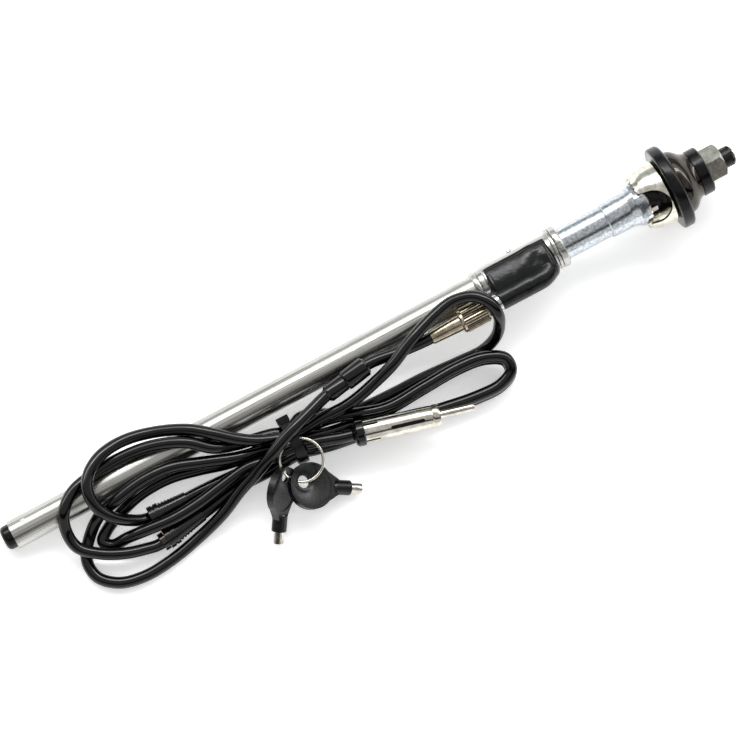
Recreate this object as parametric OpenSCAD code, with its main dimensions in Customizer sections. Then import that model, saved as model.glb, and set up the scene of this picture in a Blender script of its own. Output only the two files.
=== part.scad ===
// Lockable telescopic wing-mount mast aerial for a car, pushed in, with its coaxial lead
// tied in a loose hank and two tubular keys on the tie.
// The mast lies on its side on the surface z = 0, tail towards -X and tip towards +X.
// Mast pieces are drawn along X, measured from the tail tip, and then laid on the surface.

/* [Lower tube] */
// Outside diameter of the lower tube
tube_d = 11.7; // [11.2:0.1:12.2]
// Wall of the lower tube
tube_wall = 0.5; // [0.4:0.05:0.7]
// Bare length of the lower tube
tube_len = 204.2; // [180:0.2:240]
// Length of the tube inside the casing
tube_tuck = 9.7; // [6:0.1:12]
// Diameter of the rubber tail cap
cap_d = 9.9; // [9:0.1:10.1]
// Length of the tail cap outside the tube
cap_len = 4.1; // [3:0.1:8]
// Length of the tail cap inside the tube
cap_plug = 6; // [4:0.5:7]

/* [Casing and sleeves] */
// Length of the joint ring between tube and casing
ring_len = 4.7; // [4:0.1:7]
// Diameter of the joint ring's large bead
ring_d = 14; // [13.6:0.1:15]
// Outside diameter of the feed casing
casing_d = 14.4; // [14:0.1:14.8]
// Length of the feed casing up to its lip
casing_len = 29.2; // [28.6:0.1:32]
// Bore of the feed casing
casing_bore = 12.4; // [12.2:0.1:12.8]
// Diameter of the flange ring and the casing's lip
flange_d = 17.4; // [16.5:0.1:19]
// Thickness of the casing's lip
lip_w = 1.4; // [1:0.1:2]
// Thickness of the flange ring
flange_w = 3.2; // [2.5:0.1:5]
// Outside diameter of the upper sleeve
sleeve_d = 13.2; // [12.8:0.1:14]
// Bare length of the upper sleeve
sleeve_len = 19.4; // [15:0.1:30]
// Outside diameter of the neck socket
socket_d = 14.6; // [14:0.1:16]
// Length of the neck socket's straight part
socket_len = 9.8; // [8:0.1:14]
// Length of the neck socket's flare
flare_len = 3.5; // [2.5:0.1:5]
// Length of the socket's flatted collar
collar_len = 3.8; // [3:0.1:4.2]
// Diameter of the socket's collar
collar_d = 18.4; // [17.8:0.1:18.6]
// Width across the collar's six flats
collar_af = 17.2; // [16.6:0.1:17.6]

/* [Wing clamp] */
// Outside diameter of the threaded neck
neck_d = 10; // [9.6:0.1:10.2]
// Bore of the threaded neck
neck_bore = 8.6; // [8.4:0.1:8.8]
// Distance from the collar's face to the middle of the swivel ball
ball_ahead = 4.2; // [4:0.1:4.6]
// Diameter of the swivel ball
ball_d = 15.2; // [14.8:0.1:15.6]
// Largest diameter of the claw
claw_d = 26.2; // [25.6:0.1:27]
// Wall of the claw
claw_wall = 1.4; // [1:0.1:1.6]
// Thickness of the claw's front plate
claw_plate = 2; // [1.6:0.1:2.4]
// Width of the claw's two arches
arch_w = 14; // [12:0.2:15]
// How far round from upright the front arch faces, in degrees
claw_turn = 32; // [20:1:45]
// Outside diameter of the rubber gasket
gasket_d = 34.7; // [33:0.1:36]
// Thickness of the gasket
gasket_w = 5.6; // [4.8:0.1:6]
// Diameter of the holes that let gasket and bezel tilt on the neck
tilt_hole_d = 16; // [15.8:0.1:16.4]
// Diameter of the bezel at the gasket
bezel_d = 26.6; // [25:0.1:28]
// Diameter of the bezel at its top
bezel_top_d = 18.4; // [18:0.1:18.8]
// Height of the bezel
bezel_h = 7.6; // [7:0.1:8.4]
// Wall of the bezel
bezel_wall = 1; // [0.8:0.1:1.2]
// Diameter of the rubber ring washer
washer_d = 19.3; // [19:0.1:20]
// Thickness of the ring washer at its rim
washer_w = 4.5; // [4:0.1:6]
// Width across the flats of the panel nut
nut_af = 13.5; // [13:0.1:15]
// Height of the panel nut
nut_h = 7.2; // [6:0.1:8]

/* [Telescopic mast] */
// Outside diameter of the first section
s1_d = 7; // [6.8:0.1:7]
// Outside diameter of the second section
s2_d = 5.4; // [5.3:0.1:5.5]
// Outside diameter of the third section
s3_d = 3.8; // [3.7:0.1:3.9]
// Diameter of the solid mast rod
rod_d = 2.2; // [2.1:0.1:2.4]
// Wall of the hollow sections
section_wall = 0.4; // [0.35:0.05:0.4]
// Length of each section's sliding bush
bush_len = 14; // [10:1:20]
// Length of each section's rolled-in mouth
mouth_len = 3; // [2:0.5:5]
// Running clearance of all sliding and turning fits, on the radius
slide = 0.05; // [0.03:0.01:0.08]
// Clearance of the fixed fits, on the radius
fit = 0.05; // [0.03:0.01:0.08]
// Diameter of the plastic tip cap
tip_d = 8.2; // [8:0.1:9]
// Length of the tip cap
tip_len = 5.5; // [5:0.1:8]
// Diameter of the lock barrel in the tip
lock_d = 5.2; // [5:0.1:5.6]
// Depth of the lock barrel
lock_len = 3; // [2.8:0.1:3.4]

/* [Lead arm] */
// Distance from the mast's centre line to the lead's
arm_reach = 11; // [11:0.1:11.4]
// How far round from upright the arm points, in degrees
arm_turn = 60; // [50:1:70]
// Outside diameter of the arm
arm_d = 7.4; // [7:0.1:7.6]
// Distance from the casing's lower end to the arm
arm_at = 14; // [13:0.1:16]
// Bore of the arm
arm_bore = 4; // [3.6:0.1:4.4]
// Outside diameter of the coupling nut
knurl_d = 10; // [9.6:0.1:10.6]
// Length of the coupling nut
knurl_len = 11.5; // [10:0.1:13]
// Gap between the coupling nut and the boot
knurl_gap = 4.9; // [4.8:0.1:6]
// Length of the ferrule outside the coupling nut
ferrule_len = 12.8; // [10:0.1:16]
// Large diameter of the ferrule
ferrule_d = 6.6; // [6.2:0.1:7]
// Small diameter of the ferrule
ferrule_tip_d = 5.6; // [5.4:0.1:6]

/* [Lead] */
// Diameter of the coaxial lead
lead_d = 4.8; // [4.6:0.1:4.8]
// Length of the coupler's thick half
coupler_a = 10.6; // [9:0.1:10.6]
// Diameter of the coupler's thick half
coupler_a_d = 8.2; // [7:0.1:8.4]
// Length of the coupler's slim half
coupler_b = 8.8; // [7:0.1:8.8]
// Diameter of the coupler's slim half
coupler_b_d = 7; // [6.4:0.1:7.2]
// Diameter of the grommets' collars
grommet_d = 8.4; // [7.6:0.1:8.6]
// Length of a grommet
grommet_len = 17; // [14:0.5:18]
// Diameter of the aerial plug's shell
plug_d = 9; // [8.6:0.1:9.4]
// Length of the aerial plug's shell
plug_len = 30; // [26:0.5:34]
// Diameter of the aerial plug's pin
pin_d = 3; // [2.8:0.1:3.2]
// Bare length of the aerial plug's pin
pin_len = 15; // [12:0.5:17]
// Diameter of the plug's back collar
plug_collar_d = 10.4; // [9.8:0.1:10.6]

/* [Keys] */
// Diameter of the key's round bow
bow_d = 18.5; // [18:0.5:19.5]
// Thickness of the key's bow
bow_w = 3; // [2.6:0.1:3.2]
// Outside diameter of the key's tube
key_tube_d = 4.2; // [3.8:0.1:4.6]
// Mean diameter of the key ring
key_ring_d = 17; // [16.4:0.1:17.4]
// Diameter of the key ring's wire
key_wire_d = 1.2; // [1:0.1:1.3]

/* [Hidden] */
$fn = 64;

// Stations along the mast, from the tail tip
x_tube = cap_len;
x_ring = x_tube + tube_len;
x_casing = x_ring + ring_len;
x_tube_end = x_ring + tube_tuck;
x_lip = x_casing + casing_len;
x_flange = x_lip + lip_w;
x_sleeve = x_flange + flange_w;
x_socket = x_sleeve + sleeve_len;
x_flare = x_socket + socket_len;
x_collar = x_flare + flare_len;
x_face = x_collar + collar_len;
x_ball = x_face + ball_ahead;
x_claw_end = x_ball + ball_d / 2 - 2.5;
gasket_gap = 0.2;
x_gasket = x_claw_end + gasket_gap;
x_bezel = x_gasket + gasket_w;
x_bezel_top = x_bezel + bezel_h;

// The bezel's top is part of a ball about the swivel ball's middle, and the washer sits on it
bezel_ball_r = sqrt(pow(x_bezel_top - x_ball, 2) + pow(bezel_top_d / 2, 2));
seat_gap = 0.3;
x_washer = x_ball + sqrt(pow(bezel_ball_r + seat_gap, 2) - pow(washer_d / 2, 2));
x_nut = x_washer + washer_w + gasket_gap;
x_nut_end = x_nut + nut_h;
nut_recess = 0.7;
x_neck_end = x_nut_end - nut_recess;
tip_gap = 0.3;
x_tip = x_neck_end + tip_gap;
x_lock = x_tip + tip_len - lock_len + 0.3;
x_end = x_lock + lock_len;

// Inside of the mast
liner_wall = 0.8;
s1_bush_d = s1_d + 0.4;
liner_bore = s1_bush_d + 2 * slide;
liner_d = liner_bore + 2 * liner_wall;
guide_bore = s1_d + 2 * slide;
x_holder = x_tube_end + 0.2;
holder_len = 17.8;
contact_len = 13.4;
x_contact_end = x_holder + holder_len - 0.1;
x_contact = x_contact_end - contact_len;
x_guide = x_holder + holder_len + 0.1;
step_back = 3;
x_s1 = x_tube + cap_plug + 1;
x_s2 = x_s1 + step_back;
x_s3 = x_s2 + step_back;
x_rod = x_s3 + step_back;
mouth_step = 0.4;
x_s1_end = x_neck_end - 1.2;
x_s2_end = x_s1_end + mouth_step;
x_s3_end = x_s2_end + mouth_step;

// The lead arm, along the arm's own clock direction
x_arm = x_casing + arm_at;
x_knurl_end = x_casing - knurl_gap;
x_knurl = x_knurl_end - knurl_len;
x_ferrule = x_knurl - ferrule_len;
arm_inside = 6.3;
ferrule_grip = 8;
x_lead_start = x_ferrule + ferrule_grip;
boot_wall = 1;
boot_gap = 0.1;

// How the mast lies: the tube's tail and the gasket's rim touch the surface
rim_round = 1;
x_rim = x_gasket + rim_round;
lay_tilt = atan((gasket_d - tube_d) / 2 / (x_rim - x_tube));
axis_z = tube_d / 2 * cos(lay_tilt) - x_tube * sin(lay_tilt);
cap_flat_d = 6;
origin_x = (x_end * cos(lay_tilt) + (lock_d - cap_flat_d) / 2 * sin(lay_tilt)) / 2;

// A place on the mast, in the object's frame: along, then across in the arm's clock direction
function on_arm(x, out) = [
    x * cos(lay_tilt) - out * cos(arm_turn) * sin(lay_tilt),
    -out * sin(arm_turn),
    axis_z + x * sin(lay_tilt) + out * cos(arm_turn) * cos(lay_tilt)
];

// The lead's route, chosen by hand: X from the tail tip, Y to the side, Z above the surface
coupler_from = [156, -7.3, 19.3];
coupler_to = [136.5, -10.7, 19.3];
grommet_1_from = [54, -18.7, 4.3];
grommet_1_to = [76, -18.7, 4.3];
grommet_2_from = [53, -29.8, 4.4];
grommet_2_to = [76, -26.6, 4.4];
plug_from = [139, -28.6, 15];
plug_to = [171, -37, 15];
route = concat(
    [on_arm(x_lead_start, arm_reach), on_arm(x_ferrule - 1, arm_reach)],
    [[171, -8.8, 18.5], coupler_from, coupler_to],
    // Over the tie, down to the surface and round the lowest loop on the left
    [[126, -14.2, 20.6], [116, -17.6, 21.2], [107, -21.3, 19], [98, -24.4, 13.8]],
    [[90, -26.8, 9.8], [80, -31, 6], [68, -34.2, 2.5], [54, -37.2, 2.4], [42, -37.9, 2.4]],
    [[32, -35.5, 2.4], [25.5, -29.5, 2.4], [25, -21.5, 2.4], [30, -14.3, 3.4], [37, -9.6, 8.6]],
    [[46, -7.8, 12.6], [58, -6, 14.4], [70, -6.5, 14.4], [82, -10.2, 12.6]],
    // Through the tie and round the lower loop on the right
    [[95, -14.6, 10.6], [105, -16.4, 8.8], [111, -18, 8.7], [118, -19.5, 8.5]],
    [[124, -20.4, 8.6], [131, -22.2, 8], [143, -23.8, 6.9], [156, -25, 7.1], [172, -24.2, 7.1], [188, -23.6, 7.1]],
    [[199, -25, 7.1], [206, -29, 6], [206, -34, 4], [200, -36.8, 2.6], [190, -36.7, 2.4]],
    [[176, -34.6, 2.4], [160, -31.4, 2.4], [145, -28, 2.4], [131, -25.2, 2.5]],
    // Back through the tie, along the first grommet and over the mast
    [[119.5, -22, 4.2], [105, -20.6, 4.3], [92, -19.4, 4.3], grommet_1_to, grommet_1_from],
    [[47.5, -16.9, 8], [41, -12.9, 13.8], [37.5, -7, 17.4], [37.5, -0.5, 19.3], [41, 5.4, 19]],
    [[48.5, 9.9, 17.6], [59, 11.3, 15], [71, 8.8, 14.4], [83, 3, 17.2], [91, -3.2, 17.4]],
    [[98, -8.8, 15.6], [106, -13.6, 14.4]],
    // Through the tie and round the big loop over the casing
    [[118, -17, 12.8], [130, -16.9, 14.2], [143, -17.3, 16.6], [156, -14.8, 19.2]],
    [[165, -12.4, 22.7], [175, -7.8, 24.3], [187, -3.4, 23.8], [197, -1.6, 24.2], [205, -4.2, 26.4]],
    [[209.3, -9.6, 26.6], [210.2, -14, 24], [209.8, -16.6, 19], [207, -19.6, 11], [200.5, -21, 4.2]],
    [[190, -20.4, 2.4], [175, -19.5, 2.4], [160, -19.4, 2.4], [146, -18.6, 2.4]],
    [[137, -15.8, 2.6], [130, -12.4, 3.8], [124, -11.6, 7.4]],
    // Back through the tie, along the tube and round to the second grommet
    [[118, -14.4, 8.6], [111, -12.5, 9.2], [104, -11.1, 9.6], [96, -9.7, 11], [88, -7.4, 15], [80, -1.2, 17.5]],
    [[68, 4, 16], [54, 6.1, 13.8], [42, 5.3, 13.9], [32, 2.6, 15.1], [25.5, -3, 14.8]],
    [[23, -9.5, 10.4], [24, -16.5, 8], [30.5, -22.6, 7.9], [39, -27, 7.4], [47, -29, 5.6]],
    [grommet_2_from, grommet_2_to],
    // Through the tie and round the upper loop on the right
    [[90, -24.4, 4.9], [104, -24.8, 7.3], [118, -24.4, 8.5], [124, -25.8, 8], [131, -27.2, 7.4]],
    [[145, -29.2, 7.3], [160, -31.4, 7.3], [176, -34.6, 7.3], [190, -36.7, 7.3]],
    [[200, -36.8, 7.5], [206, -34, 9.2], [206, -29, 11.2], [199, -25, 12], [188, -23.6, 12]],
    [[172, -24.2, 12], [156, -24.8, 12], [145, -21.6, 11.4], [138, -18.8, 10.2], [131, -17, 7.6]],
    [[124, -16.6, 5.2]],
    // Back through the tie, round the small loop on the left and out to the plug
    [[118, -17, 4.2], [104, -15, 4.1], [92, -14.3, 5.4], [79, -11.2, 7.4], [68, -9, 7.6]],
    [[56, -9.1, 6.6], [46, -11.3, 4], [37.5, -14.8, 2.6], [33.8, -18.2, 2.4], [36.4, -21.2, 2.9]],
    [[43.5, -22, 6.3], [52, -23.2, 8.7], [62, -24, 9.2], [74, -23.2, 9.2], [86, -21.3, 9.6]],
    [[97, -20, 10.4], [105, -21.2, 11], [111, -21.6, 12.3], [118, -22, 12.8], [127, -24.8, 14.2], [134, -27.3, 15], plug_from]
);

// Helpers
module on_mast() {
    translate([-origin_x, 0, axis_z]) rotate([0, -lay_tilt, 0]) children();
}

module on_surface() {
    translate([-origin_x, 0, 0]) children();
}

module rod_x(from, to, d) {
    translate([from, 0, 0]) rotate([0, 90, 0]) cylinder(h = to - from, d = d);
}

module cone_x(from, to, d_from, d_to) {
    translate([from, 0, 0]) rotate([0, 90, 0]) cylinder(h = to - from, d1 = d_from, d2 = d_to);
}

module pipe_x(from, to, d, bore) {
    difference() {
        rod_x(from, to, d);
        rod_x(from - 1, to + 1, bore);
    }
}

// A turned piece: points are [radius, station]
module turned_x(points) {
    rotate([0, 90, 0]) rotate_extrude() polygon(points);
}

// Points of a round corner of a turned profile, from one angle to another
function corner(r, x, size, from, to, steps = 6) = [
    for (i = [0:steps])
        let (a = from + (to - from) * i / steps)
        [r + size * cos(a), x + size * sin(a)]
];

// Turns a piece drawn along X so that it runs from one place towards another
module along(from, to) {
    v = to - from;
    flat = norm([v[0], v[1]]);
    translate(from) rotate([0, 0, atan2(v[1], v[0])]) rotate([0, -atan2(v[2], flat), 0])
        children();
}

function unit(v) = v / norm(v);

// Rings of the lead's tube about each point of a route
lead_sides = 8;
function lead_tangent(p, i) = unit(p[min(i + 1, len(p) - 1)] - p[max(i - 1, 0)]);
function lead_ring(p, i, r) =
    let (t = lead_tangent(p, i), s = unit(cross(t, [0, 0, 1])), n = cross(s, t))
    [for (k = [0:lead_sides - 1])
        p[i] + r * cos(360 * (k + 0.5) / lead_sides) * s + r * sin(360 * (k + 0.5) / lead_sides) * n];

module lead_tube(p, d) {
    last = len(p) - 1;
    points = [for (i = [0:last]) each lead_ring(p, i, d / 2)];
    sides = [for (i = [0:last - 1], k = [0:lead_sides - 1])
        let (a = i * lead_sides + k, b = i * lead_sides + (k + 1) % lead_sides)
        each [[a, b, a + lead_sides], [b, b + lead_sides, a + lead_sides]]];
    start = [[for (k = [lead_sides - 1:-1:0]) k]];
    end = [[for (k = [0:lead_sides - 1]) last * lead_sides + k]];
    polyhedron(points, concat(sides, start, end), convexity = 10);
}

// Lower tube
module tail_cap() {
    plug_d_in = tube_d - 2 * tube_wall - 2 * fit;
    color("dimgray") on_mast() turned_x(concat(
        [[0, 0]],
        corner(cap_flat_d / 2, (cap_d - cap_flat_d) / 2, (cap_d - cap_flat_d) / 2, -90, 0),
        [[cap_d / 2, x_tube + 1.1], [plug_d_in / 2, x_tube + 1.1]],
        [[plug_d_in / 2, x_tube + cap_plug], [0, x_tube + cap_plug]]
    ));
}

module lower_tube() {
    bore = tube_d - 2 * tube_wall;
    lip = 1;
    dimple_at = x_tube + 6.2;
    small_dimple_at = x_tube + 150.6;
    seam_at = x_ring - 10.5;
    color("silver") on_mast() difference() {
        rod_x(x_tube, x_tube_end, tube_d);
        rod_x(x_tube - 1, x_tube + lip + 0.5, cap_d + 2 * fit);
        rod_x(x_tube + lip, x_tube_end + 1, bore);
        rotate([-25, 0, 0]) translate([dimple_at, 0, tube_d / 2 - 0.2]) cylinder(h = 1, r = 1.1);
        rotate([-10, 0, 0]) translate([small_dimple_at, 0, tube_d / 2 - 0.15])
            cylinder(h = 1, r = 0.7);
        translate([seam_at, 0, 0]) difference() {
            rod_x(0, 0.4, tube_d + 1);
            rod_x(-1, 1, tube_d - 0.2);
        }
    }
}

module lower_liner() {
    color("ivory") on_mast() pipe_x(x_s1 - 0.5, x_contact - 0.2, liner_d, liner_bore);
}

module tail_bush() {
    bush_bore = liner_d + 2 * fit;
    color("ivory") on_mast()
        pipe_x(x_s1 - 0.5, x_s1 + 8, tube_d - 2 * tube_wall - 2 * fit, bush_bore);
}

module joint_ring() {
    bore = tube_d / 2 + fit;
    half = ring_len * 0.55;
    small = ring_d / 2 - 0.35;
    bead = 0.9;
    color("silver") on_mast() turned_x(concat(
        [[bore, x_ring]],
        corner(ring_d / 2 - bead, x_ring + bead, bead, -90, 0),
        corner(ring_d / 2 - bead, x_ring + half - bead, bead, 0, 60),
        [[small - 0.4, x_ring + half + 0.15]],
        corner(small - 0.5, x_ring + half + 0.6, 0.5, -40, 0),
        [[small, x_casing - 0.1], [bore, x_casing - 0.1]]
    ));
}

// Casing and sleeves
module arm_frame() {
    on_mast() rotate([arm_turn, 0, 0]) children();
}

module feed_casing() {
    edge = 0.5;
    color("silver") on_mast() difference() {
        turned_x(concat(
            [[tube_d / 2 + fit, x_casing], [casing_d / 2 - edge, x_casing]],
            [[casing_d / 2, x_casing + edge], [casing_d / 2, x_lip]],
            corner(flange_d / 2 - edge, x_lip + edge, edge, -90, 0),
            [[flange_d / 2 - 0.2, x_flange - 0.1], [casing_bore / 2, x_flange - 0.1]],
            [[casing_bore / 2, x_tube_end], [tube_d / 2 + fit, x_tube_end]]
        ));
        rotate([arm_turn, 0, 0]) translate([x_arm, 0, 0]) cylinder(h = casing_d, d = arm_d + 2 * fit);
    }
}

module casing_rivet() {
    head = 2.6;
    color("gainsboro") on_mast() rotate([-80, 0, 0]) translate([x_arm, 0, 0]) {
        translate([0, 0, casing_d / 2 + 0.05]) cylinder(h = 0.8, d1 = head, d2 = head - 0.8);
    }
}

module contact_holder() {
    color("white") on_mast() difference() {
        rod_x(x_holder, x_holder + holder_len, casing_bore - 2 * fit);
        rod_x(x_holder - 1, x_holder + holder_len + 1, liner_d + 2 * fit);
        rotate([arm_turn, 0, 0]) translate([x_arm, 0, 0]) cylinder(h = casing_d, d = arm_bore);
    }
}

module contact_ring() {
    slot = 0.6;
    color("goldenrod") on_mast() difference() {
        pipe_x(x_contact, x_contact_end, liner_d, liner_bore);
        for (k = [0:3]) {
            rotate([arm_turn + 45 + 90 * k, 0, 0]) translate([x_contact + 3, -slot / 2, 0])
                cube([contact_len, slot, liner_d]);
        }
    }
}

module flange_ring() {
    round = 1;
    color("silver") on_mast() turned_x(concat(
        [[sleeve_d / 2 + fit, x_flange]],
        corner(flange_d / 2 - round, x_flange + round, round, -90, 0),
        corner(flange_d / 2 - round, x_sleeve - round, round, 0, 90),
        [[sleeve_d / 2 + fit, x_sleeve]]
    ));
}

module upper_sleeve() {
    tenon = 2.2;
    color("lightsteelblue") on_mast() difference() {
        union() {
            rod_x(x_guide, x_flange, casing_bore - 2 * fit);
            rod_x(x_flange + 0.05, x_socket, sleeve_d);
            rod_x(x_flange, x_flange + 0.1, casing_bore - 2 * fit);
            rod_x(x_socket - 0.1, x_socket + tenon, sleeve_d - 2.2);
        }
        rod_x(x_guide - 1, x_socket + tenon + 1, neck_bore);
    }
}

module neck_socket() {
    tenon = 2.4;
    screw = 13.3;
    color("lightsteelblue") on_mast() difference() {
        union() {
            turned_x([[0, x_socket + 0.05], [socket_d / 2 - 0.3, x_socket + 0.05],
                [socket_d / 2, x_socket + 0.4], [socket_d / 2, x_flare],
                [collar_d / 2 - 0.4, x_collar], [0, x_collar]]);
            intersection() {
                rod_x(x_collar - 0.3, x_face, collar_d);
                rotate([claw_turn + 30, 0, 0]) rotate([0, 90, 0])
                    cylinder(h = x_face + 1, d = collar_af / cos(30), $fn = 6);
            }
        }
        rod_x(x_socket - 1, x_face + 1, neck_bore);
        rod_x(x_socket - 1, x_socket + tenon, sleeve_d - 2.2 + 2 * fit);
        rod_x(x_face - screw, x_face + 1, neck_d + 2 * fit);
    }
}

module threaded_neck() {
    screw = 13.2;
    color("silver") on_mast() pipe_x(x_face - screw, x_neck_end, neck_d, neck_bore);
}

module upper_guide() {
    color("ivory") on_mast() pipe_x(x_guide, x_neck_end - 0.3, neck_bore - 2 * fit, guide_bore);
}

// Wing clamp
module claw_frame() {
    on_mast() rotate([claw_turn, 0, 0]) children();
}

module swivel_ball() {
    color("black") on_mast() difference() {
        translate([x_ball, 0, 0]) sphere(d = ball_d, $fn = 96);
        rod_x(x_ball - ball_d, x_face + 1.2, 2 * ball_d);
        rod_x(x_claw_end + 0.1, x_claw_end + ball_d, 2 * ball_d);
        rod_x(x_face - 1, x_claw_end + 1, neck_d + 2 * fit);
    }
}

module earth_spring() {
    ring_w = 0.5;
    prong_w = 1.8;
    prong_out = 7.95;
    color("white") claw_frame() {
        pipe_x(x_face + 0.05, x_face + 0.05 + ring_w, 2 * prong_out, neck_d + 2 * fit);
        for (turn = [14, 52]) {
            rotate([turn, 0, 0]) translate([x_face + ring_w, -prong_w / 2, prong_out - 0.3])
                cube([2.6, prong_w, 0.7]);
        }
    }
}

module clamp_claw() {
    r = claw_d / 2;
    x_tail = x_face - 2.3;
    x_plate = x_claw_end - claw_plate;
    // Room for the collar as the claw tilts
    rim = collar_d / 2 + 1.1;
    tooth = 0.9;
    color("ivory") claw_frame() difference() {
        turned_x([
            [rim, x_tail], [rim + 0.6, x_tail], [r - 1.9, x_tail + 0.8], [r - 1, x_tail + 2.4],
            [r - 0.3, x_tail + 4.4], [r, x_tail + 6.2], [r, x_claw_end - 0.8],
            [r - 0.8, x_claw_end], [0, x_claw_end], [0, x_plate], [r - claw_wall, x_plate],
            [r - claw_wall - 0.1, x_tail + 5.6], [r - claw_wall - 0.9, x_tail + 3],
            [rim, x_tail + 1.9]
        ]);
        translate([x_ball, 0, 0]) sphere(d = ball_d + 2 * slide, $fn = 96);
        rod_x(x_ball, x_claw_end + 1, neck_d + 3.4);
        // The two arches, open towards the tail
        translate([0, 0, -claw_d]) linear_extrude(2 * claw_d) {
            translate([x_face + 1.2, 0]) circle(d = arch_w);
            translate([x_tail - 1, -arch_w / 2]) square([x_face + 2.2 - x_tail, arch_w]);
        }
        // Teeth along the tail edge
        for (turn = [-48:12:48], side = [0, 180]) {
            rotate([90 + side + turn, 0, 0]) translate([x_tail, 0, rim - 1])
                cylinder(h = r, d = tooth);
        }
    }
}

module panel_gasket() {
    r = gasket_d / 2;
    big = 1.6;
    color("dimgray") on_mast() turned_x(concat(
        [[tilt_hole_d / 2, x_gasket], [r - 3, x_gasket]],
        corner(r - rim_round, x_rim, rim_round, -90, 0),
        corner(r - big, x_bezel - 0.6 - big, big, 0, 90),
        [[bezel_d / 2 + 0.6, x_bezel - 0.1], [tilt_hole_d / 2, x_bezel - 0.1]]
    ));
}

module bezel() {
    r = bezel_d / 2;
    rt = bezel_top_d / 2;
    h = x_bezel_top - x_bezel;
    hole_r = tilt_hole_d / 2;
    // The outside falls in a shallow S from the gasket's edge to the top
    steps = 10;
    outer = [for (i = [0:steps])
        let (k = i / steps, s = k - 0.1 * sin(360 * k))
        [r + (rt - r) * s, x_bezel + 0.9 + (h - 0.9) * k]];
    inner = [for (p = outer) [p[0] - bezel_wall, p[1] - 0.25]];
    inner_back = [for (i = [steps - 1:-1:0]) inner[i]];
    top_x = x_ball + sqrt(pow(bezel_ball_r, 2) - pow(hole_r, 2));
    color("gray") on_mast() turned_x(concat(
        [[r - bezel_wall, x_bezel], [r, x_bezel]],
        outer,
        [[hole_r, top_x], [hole_r, top_x - 1]],
        inner_back
    ));
}

module ring_washer() {
    edge = 0.5;
    color("black") on_mast() difference() {
        turned_x([[neck_d / 2 + fit, x_ball], [washer_d / 2, x_ball],
            [washer_d / 2, x_washer + washer_w - edge],
            [washer_d / 2 - edge, x_washer + washer_w], [neck_d / 2 + fit, x_washer + washer_w]]);
        translate([x_ball, 0, 0]) sphere(r = bezel_ball_r + seat_gap, $fn = 128);
    }
}

module panel_nut() {
    corner_d = nut_af / cos(30);
    color("silver") on_mast() difference() {
        intersection() {
            translate([x_nut, 0, 0]) rotate([0, 90, 0]) rotate([0, 0, 2])
                cylinder(h = nut_h, d = corner_d, $fn = 6);
            cone_x(x_nut - 1.2, x_nut_end, corner_d + 2 * (nut_h + 1.2) * 0.8 - 0.5, nut_af + 0.2);
        }
        rod_x(x_nut - 1, x_nut_end + 1, neck_d + 2 * fit);
    }
}

// Telescopic mast
module section(from, to, d, next_d, neck) {
    bore = d - 2 * section_wall;
    difference() {
        union() {
            rod_x(from + bush_len, to, d);
            rod_x(from, from + bush_len + 0.1, d - neck);
        }
        rod_x(from - 1, to - mouth_len, bore);
        rod_x(from, to + 1, next_d + 2 * slide);
    }
}

module bush(from, d, bore) {
    slot = 0.5;
    difference() {
        pipe_x(from, from + bush_len - 0.1, d, bore);
        translate([from + 3, -slot / 2, 0]) cube([bush_len, slot, d]);
    }
}

// A section's end is turned down by this much where its bush sits
end_step = 0.4;

module section_1() {
    color("silver") on_mast() section(x_s1, x_s1_end, s1_d, s2_d, end_step);
}

module section_1_bush() {
    color("goldenrod") on_mast() bush(x_s1, s1_bush_d, s1_d - end_step + 2 * fit);
}

module section_2() {
    color("silver") on_mast() section(x_s2, x_s2_end, s2_d, s3_d, end_step);
}

module section_2_bush() {
    color("goldenrod") on_mast()
        bush(x_s2, s1_d - 2 * section_wall - 2 * slide, s2_d - end_step + 2 * fit);
}

module section_3() {
    color("silver") on_mast() section(x_s3, x_s3_end, s3_d, rod_d, end_step);
}

module section_3_bush() {
    color("goldenrod") on_mast()
        bush(x_s3, s2_d - 2 * section_wall - 2 * slide, s3_d - end_step + 2 * fit);
}

module mast_rod() {
    color("silver") on_mast() rod_x(x_rod, x_lock - 0.3, rod_d);
}

module rod_bush() {
    color("goldenrod") on_mast()
        pipe_x(x_rod, x_rod + bush_len - 2, s3_d - 2 * section_wall - 2 * slide, rod_d + 2 * fit);
}

module tip_cap() {
    notches = 8;
    edge = 0.9;
    color("black") on_mast() difference() {
        turned_x([[rod_d / 2 + fit, x_tip], [tip_d / 2 - 0.2, x_tip], [tip_d / 2, x_tip + 0.2],
            [tip_d / 2, x_tip + tip_len - edge], [tip_d / 2 - edge, x_tip + tip_len],
            [rod_d / 2 + fit, x_tip + tip_len]]);
        rod_x(x_lock - 0.1, x_end + 1, lock_d + 2 * slide);
        for (k = [0:notches - 1]) {
            rotate([360 * k / notches, 0, 0])
                translate([x_tip + tip_len - 1.6, -0.5, tip_d / 2 - 0.55]) cube([3, 1, 2]);
        }
    }
}

module lock_barrel() {
    wall = 0.5;
    core = 2.4;
    depth = 2.2;
    color("gainsboro") on_mast() difference() {
        rod_x(x_lock, x_end, lock_d);
        pipe_x(x_end - depth, x_end + 1, lock_d - 2 * wall, core);
        translate([x_end - 0.7, -0.25, -core]) cube([1, 0.5, 2 * core]);
        translate([x_end - 1.1, core / 2 - 0.1, -0.3]) cube([2, lock_d, 0.6]);
    }
}

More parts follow.
